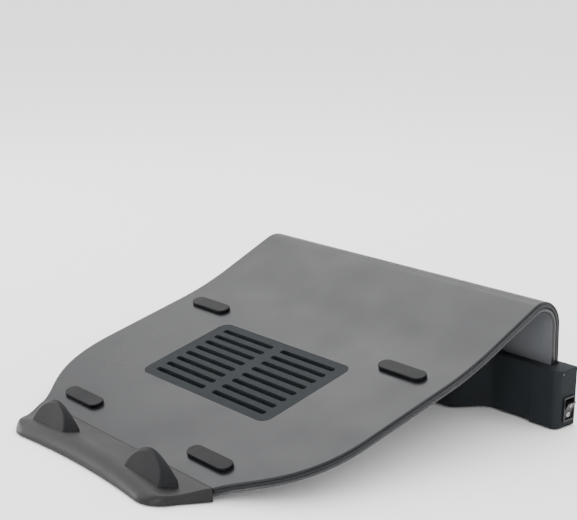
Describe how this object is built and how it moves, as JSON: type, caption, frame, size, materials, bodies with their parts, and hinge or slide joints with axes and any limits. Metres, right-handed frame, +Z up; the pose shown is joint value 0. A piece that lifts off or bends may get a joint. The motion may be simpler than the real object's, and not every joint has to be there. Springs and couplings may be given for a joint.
{
  "type": "laptop cooling pad",
  "caption": "Sloping laptop stand: a bent charcoal ramp that plugs into a long rear fan bar with an end rocker switch, and a raised front lip with half-round stoppers.",
  "frame": {"origin": "middle of the bounding box at table level", "axes": "+Z up, +Y from the front lip towards the rear bar, +X to the user's right, towards the switch"},
  "size_m": [0.34, 0.34, 0.0983],
  "materials": {
    "shell_plastic": "satin charcoal moulding",
    "liner_plastic": "smooth satin charcoal moulding",
    "lip_plastic": "fine-grained charcoal moulding",
    "bar_plastic": "fine-grained dark charcoal moulding",
    "fan_plastic": "black moulding",
    "rubber": "matt black",
    "switch_gloss": "polished black with pale printed marks",
    "steel": "plated",
    "brass": "plain",
    "wire_skin": "smooth insulation",
    "lens": "clear-white light lens"
  },
  "bodies": {
    "stand": {"back_cover": "bar_plastic", "base_plate": "bar_plastic", "base_screw_1": "steel", "base_screw_2": "steel", "base_screw_3": "steel", "base_screw_4": "steel", "end_cap_left": "bar_plastic", "end_cap_right": "bar_plastic", "fan_frame_left": "fan_plastic", "fan_frame_middle": "fan_plastic", "fan_frame_right": "fan_plastic", "fan_lead": "wire_skin", "fan_motor_left": "steel", "fan_motor_middle": "steel", "fan_motor_right": "steel", "foot_front_left": "rubber", "foot_front_right": "rubber", "foot_rear_left": "rubber", "foot_rear_right": "rubber", "front_cover": "bar_plastic", "front_lip": "lip_plastic", "grip_pad_front_left": "rubber", "grip_pad_front_right": "rubber", "grip_pad_rear_left": "rubber", "grip_pad_rear_right": "rubber", "lip_base": "bar_plastic", "power_inlet": "fan_plastic", "rear_grille": "fan_plastic", "rocker_pin": "steel", "shell_screw_1": "steel", "shell_screw_2": "steel", "shell_screw_3": "steel", "shell_screw_4": "steel", "shell_screw_5": "steel", "shell_screw_6": "steel", "status_light": "lens", "stopper_left": "rubber", "stopper_right": "rubber", "supply_lead": "wire_skin", "switch_bezel": "fan_plastic", "switch_body": "fan_plastic", "switch_terminal_lower": "brass", "switch_terminal_upper": "brass", "top_shell": "shell_plastic", "under_shell": "liner_plastic", "vent_grille": "bar_plastic"},
    "rocker": {"rocker": "switch_gloss"},
    "impeller_left": {"impeller_left": "fan_plastic"},
    "impeller_middle": {"impeller_middle": "fan_plastic"},
    "impeller_right": {"impeller_right": "fan_plastic"}
  },
  "joints": [
    {"name": "rocker_pivot", "type": "hinge", "parent": "stand", "child": "rocker", "pos_m": [0.16364, 0.1606, 0.0152], "axis": [0, -1, 0], "range_deg": [0, 32]},
    {"name": "impeller_left_spin", "type": "hinge", "parent": "stand", "child": "impeller_left", "pos_m": [-0.05596, 0.1322, 0.0239], "axis": [0, 1, 0], "continuous": true},
    {"name": "impeller_middle_spin", "type": "hinge", "parent": "stand", "child": "impeller_middle", "pos_m": [-0.00196, 0.1322, 0.0239], "axis": [0, 1, 0], "continuous": true},
    {"name": "impeller_right_spin", "type": "hinge", "parent": "stand", "child": "impeller_right", "pos_m": [0.05204, 0.1322, 0.0239], "axis": [0, 1, 0], "continuous": true}
  ]
}
